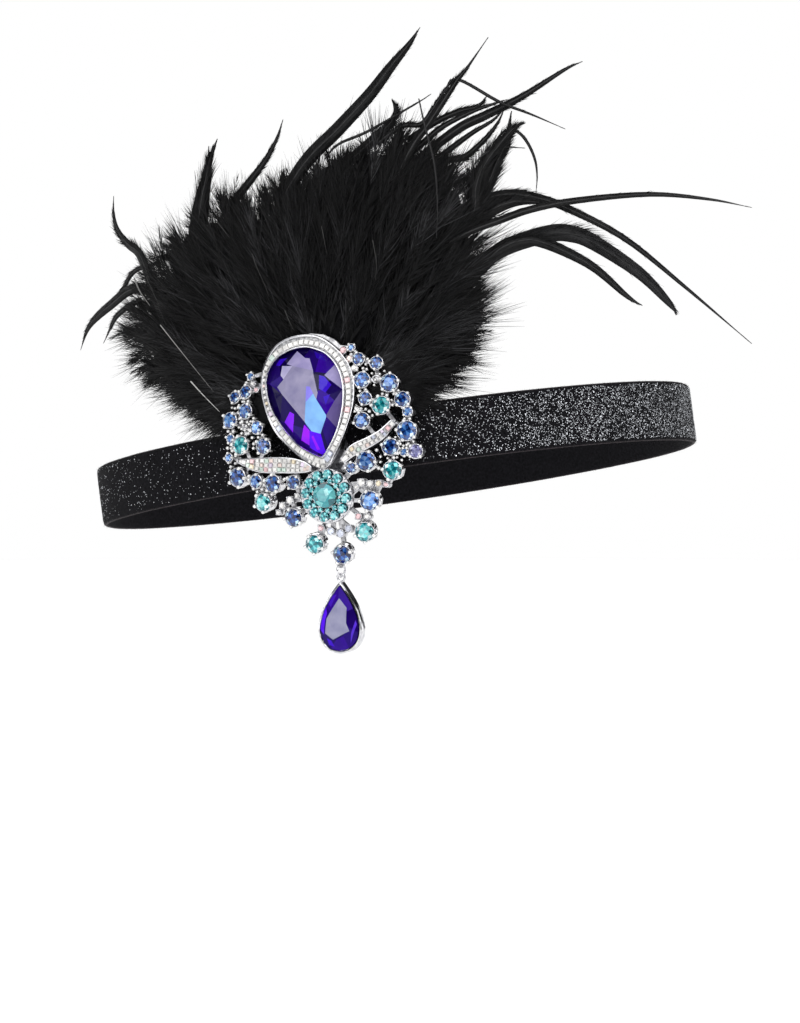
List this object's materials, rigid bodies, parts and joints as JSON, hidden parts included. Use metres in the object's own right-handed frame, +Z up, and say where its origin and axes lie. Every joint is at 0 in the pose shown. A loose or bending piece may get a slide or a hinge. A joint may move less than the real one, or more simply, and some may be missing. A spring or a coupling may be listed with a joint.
{
  "type": "flapper headpiece",
  "caption": "Glitter velvet headband with a feather plume and a jewelled fan brooch at the temple, from which a pear drop hangs.",
  "frame": {"origin": "inside the head loop, level with its middle line and at its widest point, where the head sits", "axes": "+Z up out of the crown of the head, -Y towards the face, +X to the wearer's left; the band is pitched 9.7 degrees, higher at the front; the brooch is on the -X side"},
  "size_m": [0.1685, 0.2197, 0.179],
  "materials": {
    "velvet": "black velvet with scattered silver glitter",
    "feather": "black down and long feathers, slightly glossy barbs",
    "silver": "bright rhodium plate",
    "violet": "foiled violet-blue cut glass",
    "sapphire": "foiled blue cut glass",
    "light_sapphire": "foiled pale blue cut glass",
    "aqua": "foiled aqua cut glass",
    "crystal": "clear rhinestones with a rainbow coating"
  },
  "bodies": {
    "headpiece": {"bottom_left_stone": "aqua", "brooch_clip": "silver", "brooch_frame": "silver", "crystal_row_bottom": "crystal", "crystal_row_left": "crystal", "crystal_row_lower_right": "crystal", "crystal_row_right": "crystal", "crystal_row_upper_left": "crystal", "feather_plume": "feather", "flower_petals": "aqua", "flower_stone": "aqua", "halo_pave": "crystal", "headband": "velvet", "left_foot_outer_stone": "aqua", "left_foot_stone": "sapphire", "left_heart_stone": "aqua", "left_inner_stone": "sapphire", "left_low_small_stone": "light_sapphire", "left_row_a_stone": "sapphire", "left_row_b_stone": "sapphire", "left_row_c_stone": "sapphire", "left_row_d_stone": "sapphire", "left_shoulder_stone": "sapphire", "left_side_small_stone": "light_sapphire", "left_side_stone": "light_sapphire", "left_swoosh_pave": "crystal", "left_top_outer_stone": "sapphire", "left_top_small_stone": "light_sapphire", "left_top_stone": "sapphire", "left_waist_small_stone": "crystal", "left_waist_stone": "light_sapphire", "link_stone": "sapphire", "pear_stone": "violet", "right_corner_stone": "violet", "right_edge_small_stone": "light_sapphire", "right_edge_stone": "sapphire", "right_foot_stone": "light_sapphire", "right_heart_stone": "aqua", "right_hip_outer_stone": "aqua", "right_hip_small_stone": "sapphire", "right_hip_stone": "sapphire", "right_inner_stone": "sapphire", "right_shoulder_outer_stone": "sapphire", "right_shoulder_stone": "light_sapphire", "right_side_inner_stone": "sapphire", "right_side_small_stone": "light_sapphire", "right_side_stone": "light_sapphire", "right_swoosh_pave": "crystal", "right_toe_stone": "aqua", "right_top_outer_stone": "sapphire", "right_top_small_stone": "light_sapphire", "right_top_stone": "sapphire", "right_waist_stone": "sapphire"},
    "jump_ring": {"jump_ring": "silver"},
    "drop": {"drop_bezel": "silver", "drop_stone": "violet"}
  },
  "joints": [
    {"name": "drop_swing", "type": "hinge", "parent": "headpiece", "child": "jump_ring", "pos_m": [-0.07405, -0.04502, -0.02746], "axis": [-0.02, 0.9998, 0], "range_deg": [-12, 50]},
    {"name": "drop_sway", "type": "hinge", "parent": "jump_ring", "child": "drop", "pos_m": [-0.07405, -0.04502, -0.03014], "axis": [-0.9998, -0.02, 0], "range_deg": [-35, 35]}
  ]
}
